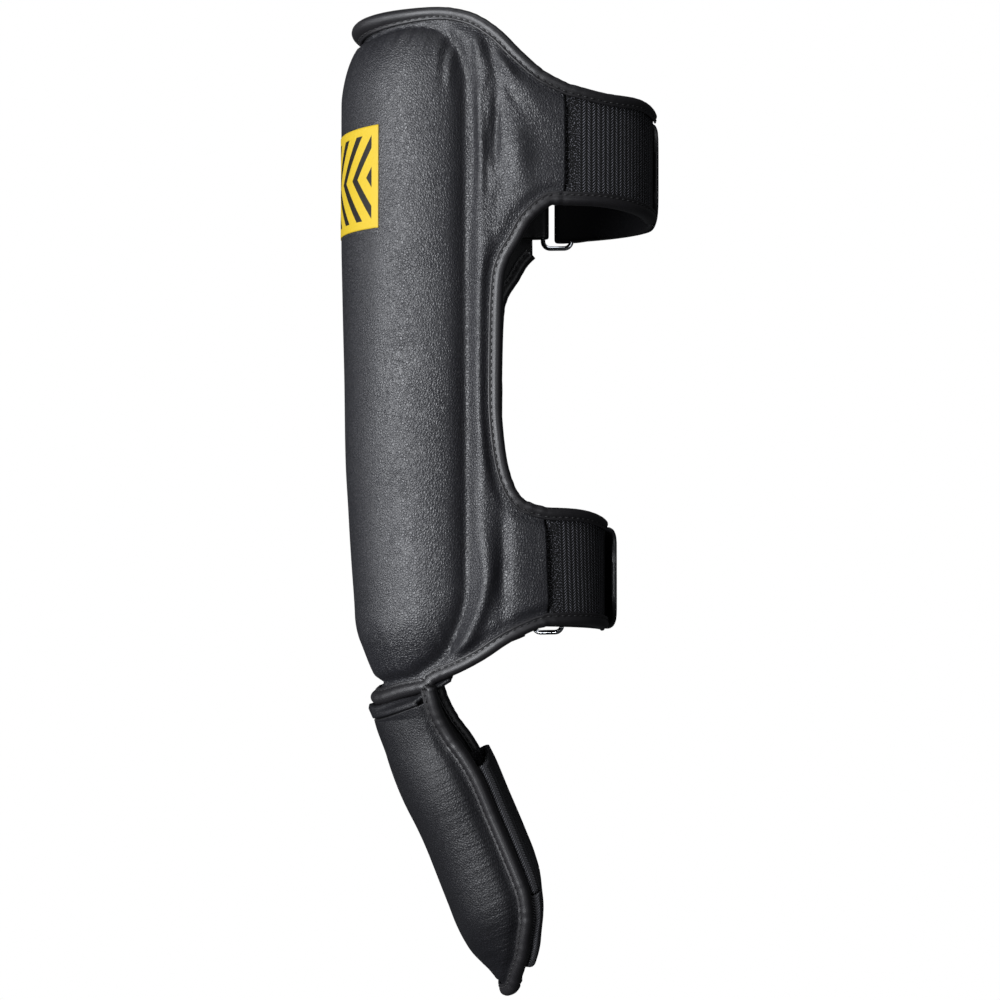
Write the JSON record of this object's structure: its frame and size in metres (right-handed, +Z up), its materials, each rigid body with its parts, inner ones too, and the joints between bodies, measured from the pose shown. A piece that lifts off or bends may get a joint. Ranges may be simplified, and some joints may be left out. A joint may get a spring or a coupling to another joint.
{
  "type": "shin guard with hanging instep pad",
  "caption": "Padded black shin guard in worn form, open at the calf, with two elastic and hook-and-loop straps through wire rings and a hanging instep pad.",
  "frame": {"origin": "middle of the shin pad's inner face, half way up the shin part, where the shin bears on it", "axes": "+Z up along the shin, -X to the front of the shin, +X to the calf, -Y to the side where the elastic panels are sewn on"},
  "size_m": [0.1689, 0.1198, 0.5122],
  "materials": {
    "pad_leather": "grained black leather over foam, semi matt",
    "binding_leather": "smooth thin black leather, stitched",
    "elastic": "black woven elastic with a herringbone rib",
    "chromed_wire": "polished chromed steel wire",
    "yellow_patch": "smooth yellow coated patch"
  },
  "bodies": {
    "root": {"padded_shell": "pad_leather", "badge_patch": "yellow_patch", "top_binding": "binding_leather", "near_edge_binding": "binding_leather", "far_edge_binding": "binding_leather", "bottom_binding": "binding_leather", "elastic_upper": "elastic", "elastic_lower": "elastic", "strap_upper": "binding_leather", "strap_lower": "binding_leather", "ring_upper": "chromed_wire", "ring_lower": "chromed_wire", "ring_tab_upper": "binding_leather", "ring_tab_lower": "binding_leather", "instep_neck": "pad_leather", "instep_pad": "pad_leather", "instep_binding": "binding_leather", "foot_band": "elastic", "toe_band": "elastic"}
  },
  "joints": []
}
